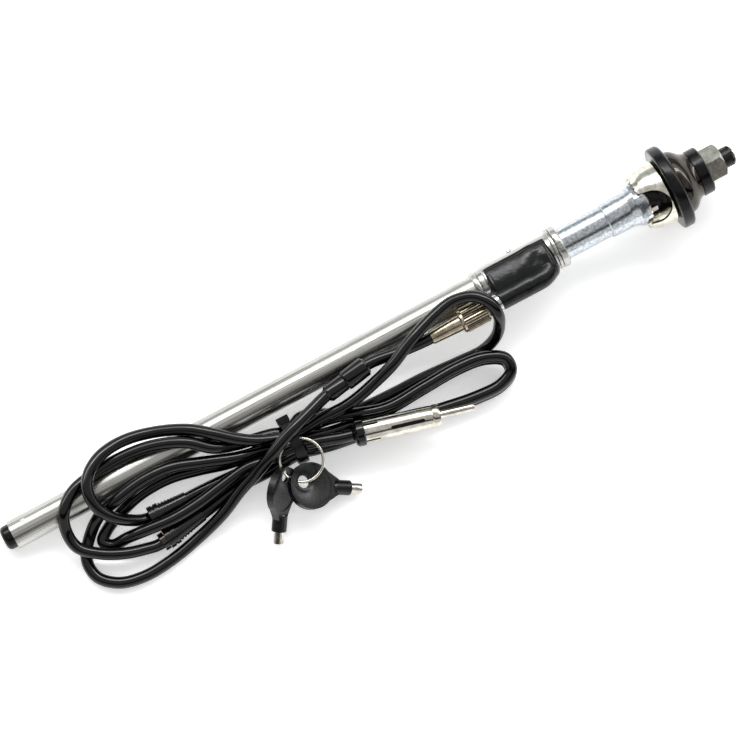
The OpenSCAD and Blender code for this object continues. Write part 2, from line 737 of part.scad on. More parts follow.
// Lead arm
module feed_arm() {
    color("silver") arm_frame() difference() {
        union() {
            translate([x_arm, 0, casing_bore / 2]) cylinder(h = arm_reach - casing_bore / 2, d = arm_d);
            translate([x_arm, 0, arm_reach]) sphere(d = arm_d);
            translate([0, 0, arm_reach]) rod_x(x_knurl_end - arm_inside, x_arm, arm_d);
        }
        translate([x_arm, 0, 0]) cylinder(h = arm_reach, d = arm_bore);
        translate([x_arm, 0, arm_reach]) sphere(d = arm_bore);
        translate([0, 0, arm_reach]) rod_x(x_knurl_end - arm_inside - 1, x_arm, arm_bore);
        rod_x(x_casing, x_lip, casing_bore);
    }
}

module feed_insulator() {
    color("white") arm_frame() translate([0, 0, arm_reach])
        pipe_x(x_knurl_end - arm_inside + 0.2, x_arm - arm_bore / 2, arm_bore - 2 * fit, 1.6);
}

module feed_wire() {
    wire = 1.4;
    color("goldenrod") arm_frame() {
        translate([x_arm, 0, liner_d / 2 + 0.05]) cylinder(h = arm_reach - liner_d / 2 - 0.05, d = wire);
        translate([x_arm, 0, arm_reach]) sphere(d = wire);
        translate([0, 0, arm_reach]) rod_x(x_knurl_end - arm_inside + 0.3, x_arm, wire);
    }
}

module arm_boot() {
    wrap = casing_d / 2 + boot_wall;
    side = 4.4;
    spread = 2.2;
    out = arm_reach - 0.4;
    right = x_lip - 0.7;
    color("dimgray") arm_frame() difference() {
        hull() {
            rod_x(x_casing + 1, right - 2.4, 2 * wrap, $fn = 48);
            rod_x(x_casing + 0.2, right, 2 * wrap - 2.4, $fn = 48);
            for (y = [-spread, spread]) {
                translate([0, y, out]) rod_x(x_casing + 1, right - 8, 2 * side, $fn = 32);
                translate([0, y, out]) rod_x(x_casing + 0.2, right - 5.6, 2 * side - 2.4, $fn = 32);
            }
        }
        // Open behind, where the casing comes through
        translate([x_casing - 5, -wrap - 2, -2 * wrap - 1]) cube([casing_len + 10, 2 * wrap + 4, 2 * wrap]);
        rod_x(x_casing - 5, x_lip + 5, casing_d + 2 * boot_gap);
        translate([x_arm, 0, 0]) cylinder(h = arm_reach, d = arm_d + 2 * boot_gap);
        translate([x_arm, 0, arm_reach]) sphere(d = arm_d + 2 * boot_gap);
        translate([0, 0, arm_reach]) rod_x(x_casing - 5, x_arm, arm_d + 2 * boot_gap);
        // Round dimple near the upper end
        translate([right - 7.2, -5, out + side - 2.2]) rotate([38, 0, 0]) cylinder(h = 6, r = 1);
    }
}

module coupling_nut() {
    ridges = 30;
    cut = 0.22;
    band = 1.4;
    r = knurl_d / 2;
    bore = arm_d + 2 * fit;
    color("tan") arm_frame() translate([0, 0, arm_reach]) difference() {
        union() {
            turned_x([[0, x_knurl], [r - 0.8, x_knurl], [r - 0.3, x_knurl + 0.5],
                [r - 0.3, x_knurl + band], [0, x_knurl + band]]);
            translate([x_knurl + band, 0, 0]) rotate([0, 90, 0])
                linear_extrude(knurl_len - band - 0.5)
                polygon([for (k = [0:2 * ridges - 1])
                    let (a = 180 * k / ridges, q = r - (k % 2) * cut)
                    [q * cos(a), q * sin(a)]]);
            rod_x(x_knurl_end - 0.5, x_knurl_end, knurl_d - 0.6);
        }
        rod_x(x_knurl_end - arm_inside - 0.3, x_knurl_end + 1, bore);
        rod_x(x_knurl + 1.6, x_knurl_end - 1, bore - 1);
        rod_x(x_knurl - 1, x_knurl_end, ferrule_tip_d + 2 * fit);
    }
}

module ferrule() {
    neck = ferrule_tip_d;
    flange_end = x_knurl_end - arm_inside - 0.2;
    color("tan") arm_frame() translate([0, 0, arm_reach]) difference() {
        union() {
            cone_x(x_ferrule, x_knurl - 2, ferrule_tip_d, ferrule_d);
            rod_x(x_knurl - 2, x_knurl - 0.1, ferrule_d);
            rod_x(x_knurl - 0.2, x_knurl + 2, neck);
            rod_x(x_knurl + 1.7, flange_end, arm_d - 1);
        }
        rod_x(x_ferrule - 1, x_lead_start, lead_d + 2 * fit);
    }
}

// Lead and the pieces on it
module coax_lead() {
    color("black") on_surface() lead_tube(route, lead_d);
}

module coupler_half(from, d, len, lip) {
    edge = 0.9;
    bore = lead_d + 0.3;
    difference() {
        turned_x([[0, from], [d / 2 - edge, from], [d / 2, from + edge],
            [d / 2, from + len - lip], [d / 2 - lip * 0.6, from + len], [0, from + len]]);
        rod_x(from - 1, from + len + 1, bore);
    }
}

module coupler_socket() {
    color("black") on_surface() along(coupler_from, coupler_to)
        coupler_half(0.15, coupler_a_d, coupler_a, 0.6);
}

module coupler_plug() {
    color("black") on_surface() along(coupler_to, coupler_from)
        coupler_half(0.15, coupler_b_d, coupler_b, 0.3);
}

// A sliding grommet: a round collar with a groove, then a ribbed tail that gets thinner
module grommet(d, len) {
    collar = 4.4;
    ribs = 8;
    tail_d = lead_d + 1.3;
    pitch = (len - collar - 1) / ribs;
    bore = lead_d + 0.3;
    difference() {
        union() {
            rod_x(0, collar, d);
            cone_x(collar - 0.1, len, d - 1.6, tail_d - 0.4);
            for (k = [0:ribs - 1]) {
                rib_d = d - 0.6 - (d - 0.2 - tail_d) * (k + 1) / ribs;
                rod_x(collar + 0.5 + pitch * k, collar + 0.5 + pitch * (k + 0.5), rib_d);
            }
        }
        rod_x(-1, len + 1, bore);
        pipe_x(collar * 0.45, collar * 0.6, d + 1, d - 0.8);
    }
}

module lead_grommet_1() {
    color("black") on_surface() along(grommet_1_from, grommet_1_to)
        translate([0.5, 0, 0]) grommet(grommet_d, grommet_len - 1);
}

module lead_grommet_2() {
    color("black") on_surface() along(grommet_2_from, grommet_2_to)
        translate([3.2, 0, 0]) grommet(grommet_d, grommet_len);
}

module grommet_clip() {
    w = 2.2;
    color("silver") on_surface() along(grommet_2_from, grommet_2_to)
        pipe_x(0.8, 0.8 + w, grommet_d - 0.9, lead_d + 0.3);
}

module plug_frame() {
    on_surface() along(plug_from, plug_to) children();
}

collar_w = 4.4;
module plug_collar() {
    color("black") plug_frame() difference() {
        turned_x([[0, 0.05], [lead_d / 2 + 0.9, 0.05], [plug_collar_d / 2 - 0.6, 0.6],
            [plug_collar_d / 2, 1.4], [plug_collar_d / 2, collar_w - 0.5],
            [plug_collar_d / 2 - 0.5, collar_w], [0, collar_w]]);
    }
}

module plug_shell() {
    wall = 0.6;
    slots = 4;
    slot_w = 1.5;
    start = collar_w + 0.05;
    end = start + plug_len;
    color("gainsboro") plug_frame() difference() {
        turned_x([[plug_d / 2 - wall, start], [plug_d / 2, start], [plug_d / 2, end - 3.4],
            [plug_d / 2 - 0.25, end - 3], [plug_d / 2, end - 2.6], [plug_d / 2, end - 0.8],
            [plug_d / 2 - 0.4, end], [plug_d / 2 - wall - 0.3, end],
            [plug_d / 2 - wall, end - 0.8]]);
        for (k = [0:slots - 1]) {
            rotate([20 + 360 * k / slots, 0, 0]) {
                translate([start + 11, 0, 0]) cylinder(h = plug_d, d = slot_w);
                translate([start + 11, -slot_w / 2, 0]) cube([12, slot_w, plug_d]);
                translate([start + 23, 0, 0]) cylinder(h = plug_d, d = slot_w);
            }
            rotate([65 + 360 * k / slots, 0, 0])
                translate([start - 1, -0.5, 0]) cube([6.5, 1, plug_d]);
        }
    }
}

module plug_insulator() {
    wall = 0.6;
    start = collar_w + 0.1;
    color("dimgray") plug_frame() difference() {
        rod_x(start, start + plug_len - 1, plug_d - 2 * wall - 2 * fit);
        rod_x(start - 1, start + plug_len, pin_d - 0.6 + 2 * fit);
    }
}

module plug_pin() {
    wall_start = collar_w + 0.1 + plug_len - 0.9;
    tip = pin_d * 0.35;
    color("gainsboro") plug_frame() {
        rod_x(collar_w + 2, wall_start + 0.1, pin_d - 0.6);
        turned_x(concat(
            [[0, wall_start], [pin_d / 2, wall_start]],
            corner(pin_d / 2 - tip, wall_start + pin_len - tip, tip, 0, 90),
            [[0, wall_start + pin_len]]
        ));
    }
}

// Tie, key ring and keys
tie_bore = 16.7;
tie_wall = 1;
tie_w = 4.2;
tie_x = 117.5;
tie_y = -19.3;
module lead_tie() {
    r = tie_bore / 2 + tie_wall;
    knob = 3.4;
    color("dimgray") on_surface() translate([tie_x, tie_y, r + 0.1]) {
        difference() {
            union() {
                rod_x(-tie_w / 2, tie_w / 2, 2 * r);
                // The fastening head of the strap, low on the side towards the mast
                rotate([-78, 0, 0]) translate([-tie_w / 2 - 0.4, -knob / 2, r - 1])
                    cube([tie_w + 0.8, knob, 2.6]);
            }
            rod_x(-tie_w, tie_w, tie_bore);
        }
    }
}

ring_at = [116.4, -28, 15.1];
ring_roll = 8;
ring_pitch = 11;
module ring_frame() {
    on_surface() translate(ring_at) rotate([ring_pitch, 0, 0]) rotate([0, -ring_roll, 0]) children();
}

module key_ring() {
    color("silver") ring_frame() rotate_extrude($fn = 96)
        translate([key_ring_d / 2, 0]) circle(d = key_wire_d, $fn = 16);
}

// A key's plastic bow: a round disc drawn out to the neck, thinner about its ring hole.
// It is drawn flat, with its neck along +X.
hole_d = 5;
web_w = 1.2;
neck_w = 6;
neck_out = 16.6;
module key_bow(hole_at) {
    rim = 0.9;
    difference() {
        union() {
            translate([0, 0, -bow_w / 2]) cylinder(h = bow_w, d = bow_d);
            translate([0, 0, -bow_w / 2]) linear_extrude(bow_w)
                polygon([[2.5, bow_d / 2 - 0.4], [bow_d / 2 + 2.4, neck_w / 2],
                    [bow_d / 2 + 2.4, -neck_w / 2], [2.5, -bow_d / 2 + 0.4]]);
            rod_x(bow_d / 2 + 1, neck_out, neck_w);
        }
        // Raised rim about each face
        for (side = [-1, 1]) {
            translate([0, 0, side * (bow_w / 2)]) cylinder(h = 0.6, d = bow_d - 2 * rim, center = true);
        }
        // Dished face and hole for the ring
        translate([hole_at[0], hole_at[1], web_w / 2])
            cylinder(h = bow_w, d1 = hole_d + 1.4, d2 = hole_d + 1.4 + 5 * bow_w);
        translate([hole_at[0], hole_at[1], -web_w / 2 - bow_w])
            cylinder(h = bow_w, d2 = hole_d + 1.4, d1 = hole_d + 1.4 + 5 * bow_w);
        translate([hole_at[0], hole_at[1], -bow_w]) cylinder(h = 2 * bow_w, d = hole_d);
        rod_x(bow_d / 2 + 0.5, neck_out + 1, key_tube_d + 2 * fit);
    }
}

module key_tube() {
    bore = 2.9;
    reach = 21.6;
    difference() {
        rod_x(bow_d / 2 + 0.6, reach, key_tube_d);
        rod_x(neck_out - 2, reach + 1, bore);
        translate([reach - 1.4, -0.4, 0]) cube([2, 0.8, key_tube_d]);
    }
}

// Key 1 lies on its tube's end and hangs on the ring; key 2 leans on its edge beside it
key_1_at = [115, -38.2, 11.8];
key_1_yaw = -26;
key_1_roll = 0;
key_1_drop = 26.8;
module key_1_frame() {
    on_surface() translate(key_1_at) rotate([0, 0, key_1_yaw]) rotate([0, key_1_drop, 0])
        rotate([key_1_roll, 0, 0]) children();
}

module key_1_bow() {
    color("dimgray") key_1_frame() key_bow([-3.2, 1.5]);
}

module key_1_tube() {
    color("silver") key_1_frame() key_tube();
}

key_2_at = [104.5, -34.3, 11.8];
key_2_yaw = -123;
key_2_roll = -63;
key_2_drop = 25.7;
module key_2_frame() {
    on_surface() translate(key_2_at) rotate([0, 0, key_2_yaw]) rotate([0, key_2_drop, 0])
        rotate([key_2_roll, 0, 0]) children();
}

module key_2_bow() {
    color("dimgray") key_2_frame() key_bow([-5.5, 0.8]);
}

module key_2_tube() {
    color("silver") key_2_frame() key_tube();
}

tail_cap();
lower_tube();
lower_liner();
tail_bush();
joint_ring();
feed_casing();
casing_rivet();
contact_holder();
contact_ring();
flange_ring();
upper_sleeve();
neck_socket();
threaded_neck();
upper_guide();
swivel_ball();
earth_spring();
clamp_claw();
panel_gasket();
bezel();
ring_washer();
panel_nut();
section_1();
section_1_bush();
section_2();
section_2_bush();
section_3();
section_3_bush();
mast_rod();
rod_bush();
tip_cap();
lock_barrel();
feed_arm();
feed_insulator();
feed_wire();
arm_boot();
coupling_nut();
ferrule();
coax_lead();
coupler_socket();
coupler_plug();
lead_grommet_1();
lead_grommet_2();
grommet_clip();
plug_collar();
plug_shell();
plug_insulator();
plug_pin();
lead_tie();
key_ring();
key_1_bow();
key_1_tube();
key_2_bow();
key_2_tube();
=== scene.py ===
"""A car mast aerial lying pushed in, with its lead in a tied hank and two keys on the tie.

The CAD model is the frame. Pieces whose shape the CAD already has keep its mesh and get a
material; the lead and the pieces that show more shape than the CAD are made here.
"""

import math

import bmesh
import bpy
import numpy as np
from mathutils import Matrix, Vector


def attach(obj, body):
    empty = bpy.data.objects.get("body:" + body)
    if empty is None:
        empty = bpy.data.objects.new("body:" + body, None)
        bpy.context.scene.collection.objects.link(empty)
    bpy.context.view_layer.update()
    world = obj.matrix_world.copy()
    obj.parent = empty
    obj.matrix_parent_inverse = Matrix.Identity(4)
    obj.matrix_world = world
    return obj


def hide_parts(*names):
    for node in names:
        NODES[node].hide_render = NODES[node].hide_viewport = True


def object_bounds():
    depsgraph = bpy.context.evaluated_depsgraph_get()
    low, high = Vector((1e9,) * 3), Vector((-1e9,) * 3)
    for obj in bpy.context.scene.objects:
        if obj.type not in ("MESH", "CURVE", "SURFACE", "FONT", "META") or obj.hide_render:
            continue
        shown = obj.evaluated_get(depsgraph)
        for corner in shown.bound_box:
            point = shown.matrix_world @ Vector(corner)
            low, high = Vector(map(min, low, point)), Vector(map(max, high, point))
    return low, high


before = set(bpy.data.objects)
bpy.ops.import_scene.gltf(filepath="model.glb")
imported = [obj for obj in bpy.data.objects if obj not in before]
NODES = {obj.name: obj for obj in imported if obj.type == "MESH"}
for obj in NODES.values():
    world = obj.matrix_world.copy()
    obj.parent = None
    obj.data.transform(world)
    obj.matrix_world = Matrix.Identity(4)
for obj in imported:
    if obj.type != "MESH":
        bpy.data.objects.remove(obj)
bpy.context.scene.view_settings.view_transform = "Standard"
cad_low, cad_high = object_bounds()

# Where the mast lies, as in the CAD source, in millimetres
ORIGIN_X = 161.569
AXIS_Z = 5.68277
TILT = math.radians(2.27323)
ARM_TURN = math.radians(60)
ARM_REACH = 11.0


def mast_point(x, y=0.0, z=0.0):
    """A place in the mast's own frame, in millimetres, as metres in the row frame."""
    c, s = math.cos(TILT), math.sin(TILT)
    return Vector((x * c - z * s - ORIGIN_X, y, AXIS_Z + x * s + z * c)) / 1000


# Camera, matched to the photograph: turn and height in degrees, distance in metres, focal length
# and picture width in pixels, and the place that it looks at, in mm, with a small shift
CAMERA_AZ, CAMERA_EL, CAMERA_FAR = -28.0, 79.0, 1.5
FOCAL_PIXELS, PICTURE_PIXELS, SENSOR_MM = 3837.0, 736.0, 36.0
CAMERA_AIM = (157.9, -7.9, 12.0)
SHIFT_RIGHT, SHIFT_UP = -0.00137, -0.00018


def add_camera():
    """A long lens from above the near side, held level."""
    az, el = math.radians(CAMERA_AZ), math.radians(CAMERA_EL)
    back = Vector((math.sin(az) * math.cos(el), -math.cos(az) * math.cos(el), math.sin(el)))
    right = Vector((math.cos(az), math.sin(az), 0))
    up = back.cross(right)
    aim = (Vector(CAMERA_AIM) - Vector((ORIGIN_X, 0, 0))) / 1000 + SHIFT_RIGHT * right + SHIFT_UP * up
    data = bpy.data.cameras.new("camera")
    data.sensor_width = SENSOR_MM
    data.lens = SENSOR_MM * FOCAL_PIXELS / PICTURE_PIXELS
    data.clip_start = 0.05
    data.clip_end = 20.0
    cam = bpy.data.objects.new("camera", data)
    bpy.context.scene.collection.objects.link(cam)
    turn = Matrix((right, up, back)).transposed()
    cam.matrix_world = Matrix.Translation(aim + back * CAMERA_FAR) @ turn.to_4x4()
    bpy.context.scene.camera = cam


add_camera()


def rgb(code):
    """A colour from sRGB hex to linear."""
    parts = [int(code[i : i + 2], 16) / 255 for i in (0, 2, 4)]
    return [p / 12.92 if p <= 0.04045 else ((p + 0.055) / 1.055) ** 2.4 for p in parts] + [1.0]


# Materials
class Mat:
    """A material's node tree, with short ways to add to it."""

    def __init__(self, name):
        self.mat = bpy.data.materials.new(name)
        self.mat.use_nodes = True
        self.tree = self.mat.node_tree
        self.tree.nodes.clear()
        self.out = self.node("ShaderNodeOutputMaterial")
        self.bsdf = self.node("ShaderNodeBsdfPrincipled")
        self.link(self.bsdf.outputs[0], self.out.inputs[0])

    def node(self, kind, **values):
        """Adds a node. A value named after a property sets it; a number key sets that socket."""
        n = self.tree.nodes.new(kind)
        for key, value in values.items():
            if key.startswith("in_"):
                place = key[3:]
                self.fill(n.inputs[int(place) if place.isdigit() else place], value)
            else:
                setattr(n, key, value)
        return n

    def link(self, a, b):
        self.tree.links.new(a, b)

    def fill(self, socket, value):
        """Links an output to the socket, or gives the socket a plain value."""
        if hasattr(value, "is_output"):
            self.link(value, socket)
        else:
            socket.default_value = value

    def set(self, name, value):
        self.fill(self.bsdf.inputs[name], value)

    def coords(self, scale=(1, 1, 1), turn=(0, 0, 0)):
        """The object's own coordinates, scaled in metres to pattern units."""
        tc = self.node("ShaderNodeTexCoord")
        rot = self.node(
            "ShaderNodeMapping", vector_type="TEXTURE", in_0=tc.outputs["Object"], in_2=turn
        )
        return self.node("ShaderNodeMapping", in_0=rot.outputs[0], in_3=scale).outputs[0]

    def noise(self, where, scale=1.0, detail=3.0, rough=0.55):
        return self.node(
            "ShaderNodeTexNoise", in_Vector=where, in_Scale=scale, in_Detail=detail, in_Roughness=rough
        ).outputs[0]

    def spread(self, value, low, high, to_low, to_high):
        """Carries the range from low to high over to another one, and holds it at the ends."""
        return self.node(
            "ShaderNodeMapRange", in_0=value, in_1=low, in_2=high, in_3=to_low, in_4=to_high
        ).outputs[0]

    def ramp(self, value, *stops):
        """Stops are (place, grey or colour)."""
        n = self.node("ShaderNodeValToRGB", in_0=value)
        while len(n.color_ramp.elements) < len(stops):
            n.color_ramp.elements.new(0.5)
        for e, (place, c) in zip(n.color_ramp.elements, stops):
            e.position = place
            e.color = rgb(c) if isinstance(c, str) else (c, c, c, 1)
        return n.outputs[0]

    def bump(self, height, depth_mm, strength=1.0, normal=None):
        n = self.node(
            "ShaderNodeBump", in_Strength=strength, in_Distance=depth_mm / 1000, in_Height=height
        )
        if normal is not None:
            self.link(normal, n.inputs["Normal"])
        return n.outputs[0]

    def mix(self, fac, a, b):
        n = self.node("ShaderNodeMix", data_type="RGBA")
        for place, value in ((0, fac), (6, a), (7, b)):
            self.fill(n.inputs[place], value)
        return n.outputs[2]


def along_mast(m, length_mm, width_mm):
    """Pattern scale along and across the mast, so that long streaks run with the tube."""
    return m.coords((1000 / length_mm, 1000 / width_mm, 1000 / width_mm), (0, -TILT, 0))


def plated(name, light, dark, rough, streak, haze):
    """Bright plate drawn lengthwise: long faint streaks in tone and shine, and a little haze."""
    m = Mat(name)
    streaks = m.noise(along_mast(m, 70, 0.45), detail=4.0, rough=0.6)
    cloud = m.noise(m.coords((120, 120, 120)), detail=3.0)
    tone = m.mix(m.ramp(streaks, (0.32, 0.0), (0.68, 1.0)), rgb(dark), rgb(light))
    m.set("Base Color", m.mix(m.ramp(cloud, (0.45, 0.0), (0.75, haze)), tone, rgb(dark)))
    m.set("Metallic", 1.0)
    m.set("Roughness", m.spread(streaks, 0.3, 0.7, rough - streak / 2, rough + streak / 2))
    m.set("Normal", m.bump(streaks, 0.01, 0.25))
    return m.mat


def grained(name, light, dark, rough, grain_mm, depth_mm, cloud_mm=3.0):
    """Dull plate over steel: a fine even grain with cloudy patches."""
    m = Mat(name)
    fine = m.noise(m.coords((1000 / grain_mm,) * 3), detail=2.0)
    cloud = m.noise(m.coords((1000 / cloud_mm,) * 3), detail=4.0)
    m.set("Base Color", m.mix(m.ramp(cloud, (0.3, 0.0), (0.7, 1.0)), rgb(dark), rgb(light)))
    m.set("Metallic", 1.0)
    m.set("Roughness", m.spread(fine, 0.3, 0.7, rough - 0.08, rough + 0.08))
    m.set("Normal", m.bump(fine, depth_mm, 0.6))
    return m.mat


def knurled(name, light, dark, groove_shade):
    """Aged plate of the coupling nut, with painted shade in its grooves: dark where the distance from
    the arm's axis, in mm, is that of a groove's floor, and unshaded at the ridges and the bands."""
    m = Mat(name)
    tail = mast_point(0)
    z_axis = 1000 * (tail.z * math.cos(TILT) - tail.x * math.sin(TILT))
    centre = (0, -ARM_REACH * math.sin(ARM_TURN), z_axis + ARM_REACH * math.cos(ARM_TURN))
    where = m.coords((0, 1000, 1000), (0, -TILT, 0))
    far = m.node("ShaderNodeVectorMath", operation="DISTANCE", in_0=where, in_1=centre)
    place = m.spread(far.outputs["Value"], 4.5, 5.1, 0.0, 1.0)
    # Painted shade: the groove floors take the dark colour, and the ridges and bands keep the plate's
    # tone
    unshaded = m.ramp(place, (0.33, 1.0), (0.43, 0.0), (0.53, 0.0), (0.8, 1.0))
    cloud = m.noise(m.coords((333, 333, 333)), detail=4.0)
    tone = m.mix(m.ramp(cloud, (0.3, 0.0), (0.7, 1.0)), rgb(dark), rgb(light))
    m.set("Base Color", m.mix(unshaded, rgb(groove_shade), tone))
    m.set("Metallic", 1.0)
    m.set("Roughness", 0.24)
    return m.mat


def moulded(name, base, light, rough, grain_mm=0.25, depth_mm=0.01, shine=0.5):
    """Moulded plastic or rubber: fine grain, faint scuffs that lighten it."""
    m = Mat(name)
    fine = m.noise(m.coords((1000 / grain_mm,) * 3), detail=2.0)
    scuff = m.noise(m.coords((260, 260, 260)), detail=5.0, rough=0.7)
    m.set("Base Color", m.mix(m.ramp(scuff, (0.5, 0.0), (0.72, 1.0)), rgb(base), rgb(light)))
    m.set("Roughness", m.spread(scuff, 0.3, 0.75, rough - 0.06, rough + 0.1))
    m.set("Normal", m.bump(fine, depth_mm, 0.5))
    m.set("Specular IOR Level", shine)
    return m.mat


# Bright nickel of the lower tube, casing, rings and neck: pale, with grey streaks
NICKEL = plated("bright_nickel_tube", "d9d8d4", "9b9a95", 0.27, 0.12, 0.3)
# Bright plate of the small pieces: plug, pin, key ring, key tubes, panel nut, lock and spring
BRIGHT = grained("bright_plate_small", "e8e4da", "b9b4a8", 0.15, 0.3, 0.002)
# Polished stainless steel of the sliding sections, grey enough to show against white
CHROME = plated("section_steel", "b3b6b9", "83878b", 0.2, 0.08, 0.2)
# Bluish zinc of the sleeve, socket and arm, with a frosted grain
ZINC = grained("zinc_plate", "dde1e5", "a0a7ae", 0.2, 0.3, 0.028, 1.1)
# Satin creamy nickel of the pressed claw
CLAW = grained("claw_nickel", "edeae0", "bfbbac", 0.17, 0.5, 0.01)
# Nickelled brass gone dull, on the ferrule
AGED = grained("aged_nickel_brass", "b8ad98", "877d6b", 0.24, 0.3, 0.008)
# The same on the coupling nut, a little paler, with painted shade darkening its grooves
KNURL = knurled("knurled_nickel_brass", "c4b9a3", "938873", "2b251c")
# Bare brass of the bushes inside
BRASS = grained("bare_brass", "c9a55c", "a07f3e", 0.3, 0.3, 0.004)
# Dark polished plate of the bezel and the grommet's ring
DARK = grained("dark_chrome", "504c48", "37332f", 0.05, 0.5, 0.002)
# Natural plastic of the liners
WHITE = moulded("natural_plastic", "ded8c8", "ebe6da", 0.45)
# Satin black plastic of the tip, the ball and the plug's insulator
BLACK = moulded("satin_black_plastic", "0b0c0d", "141516", 0.3, shine=0.3)
# Soft charcoal strap of the tie
BOOT = moulded("soft_charcoal_boot", "08090a", "111213", 0.3, 0.5, 0.02, shine=0.3)
# Moulded rubber of the gasket, tail cap and washer
RUBBER = moulded("moulded_rubber", "050506", "0d0e0e", 0.2, 0.5, 0.008, shine=0.26)
# Glossy jacket of the lead, its coupler and the plug's collar
JACKET = moulded("lead_jacket", "030303", "080809", 0.09, 0.8, 0.002, shine=0.42)
# Glossier ribbed rubber of the grommets, whose rib edges catch the light
GROMMET = moulded("grommet_rubber", "060606", "1a1a1a", 0.16, 0.5, 0.01, shine=0.5)
# Satin plastic of the key bows
KEYS = moulded("key_plastic", "0b0c0c", "161718", 0.27, 0.4, 0.012, shine=0.35)


def give(names, mat):
    for name in names:
        o = NODES[name]
        o.data.materials.clear()
        o.data.materials.append(mat)


give(
    ["joint_ring", "feed_casing", "casing_rivet", "flange_ring", "threaded_neck", "lower_tube"],
    NICKEL,
)
give(
    ["earth_spring", "plug_shell", "plug_pin", "key_ring", "key_1_tube", "key_2_tube",
     "lock_barrel", "panel_nut"],
    BRIGHT,
)
give(["section_1", "section_2", "section_3", "mast_rod"], CHROME)
give(["upper_sleeve", "neck_socket", "feed_arm"], ZINC)
give(["clamp_claw"], CLAW)
give(["coupling_nut"], KNURL)
give(["ferrule"], AGED)
give(
    ["contact_ring", "section_1_bush", "section_2_bush", "section_3_bush", "rod_bush", "feed_wire"],
    BRASS,
)
give(["bezel", "grommet_clip"], DARK)
give(["lower_liner", "tail_bush", "contact_holder", "upper_guide", "feed_insulator"], WHITE)
give(["swivel_ball", "tip_cap", "plug_insulator"], BLACK)
give(["lead_tie"], BOOT)
give(["lead_grommet_1", "lead_grommet_2"], GROMMET)
give(["tail_cap", "panel_gasket", "ring_washer"], RUBBER)
give(["coax_lead", "coupler_socket", "coupler_plug", "plug_collar"], JACKET)
give(["key_1_bow", "key_2_bow"], KEYS)


def boot_cover():
    """The soft cover's own material: soft charcoal vinyl with a fine skin, faint scuffs, and two
    fine moulded lines, low along it and near its upper end."""
    m = Mat("soft_arm_cover")
    where = m.coords((1000, 1000, 1000), (0, -TILT, 0))
    split = m.node("ShaderNodeSeparateXYZ", in_0=where)

    def maths(op, *values, clamp=False):
        n = m.node("ShaderNodeMath", operation=op, use_clamp=clamp)
        for k, v in enumerate(values):
            m.fill(n.inputs[k], v)
        return n.outputs[0]

    along = maths("ADD", split.outputs[0], ORIGIN_X)
    across = split.outputs[1]

    def band(value, centre, half):
        """1 on the line where value is centre, falling to 0 at half either side."""
        off = maths("ABSOLUTE", maths("SUBTRACT", value, centre))
        return maths("SUBTRACT", 1.0, maths("DIVIDE", off, half), clamp=True)

    shape = maths("SUBTRACT", 0.0, maths("MAXIMUM", band(across, -14.0, 0.3), band(along, 239.8, 0.3)))
    skin = m.noise(m.coords((2200, 2200, 2200)), detail=2.0)
    scuff = m.noise(m.coords((300, 300, 300)), detail=5.0, rough=0.7)
    m.set("Base Color", m.mix(m.ramp(scuff, (0.5, 0.0), (0.72, 1.0)), rgb("08090a"), rgb("121314")))
    m.set("Roughness", m.spread(scuff, 0.3, 0.75, 0.15, 0.32))
    m.set("Specular IOR Level", 0.35)
    crease = m.noise(m.coords((420, 420, 420)), detail=3.0, rough=0.6)
    m.set("Normal", m.bump(skin, 0.01, 0.4, m.bump(crease, 0.25, 0.5, m.bump(shape, 0.15, 1.0))))
    return m.mat


# Curved CAD faces are shaded smooth and sharp edges stay sharp. Fine ribs and facets are kept
# crisp, in degrees between neighbouring faces.
RIBBED = [
    NODES[n].name
    for n in ("coupling_nut", "panel_nut", "lead_grommet_1", "lead_grommet_2", "clamp_claw")
]
RIBBED_SPLIT = 14
SMOOTH_SPLIT = 32
WELD_GAP = 2e-6
for o in NODES.values():
    if "custom_normal" in o.data.attributes:
        o.data.attributes.remove(o.data.attributes["custom_normal"])
    o.data.polygons.foreach_set("use_smooth", [True] * len(o.data.polygons))
    weld = o.modifiers.new("join facets", "WELD")
    weld.merge_threshold = WELD_GAP
    split = o.modifiers.new("sharp edges", "EDGE_SPLIT")
    split.split_angle = math.radians(RIBBED_SPLIT if o.name in RIBBED else SMOOTH_SPLIT)


def make_mesh(name, points, faces, mat, body="aerial", sharp=None):
    """A piece in the row frame from points in metres and faces as index tuples."""
    me = bpy.data.meshes.new(name)
    me.from_pydata(points.tolist(), [], faces)
    me.polygons.foreach_set("use_smooth", [True] * len(me.polygons))
    if sharp:
        me.set_sharp_from_angle(angle=math.radians(sharp))
    me.update()
    o = bpy.data.objects.new(name, me)
    bpy.context.scene.collection.objects.link(o)
    me.materials.append(mat)
    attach(o, body)
    return o


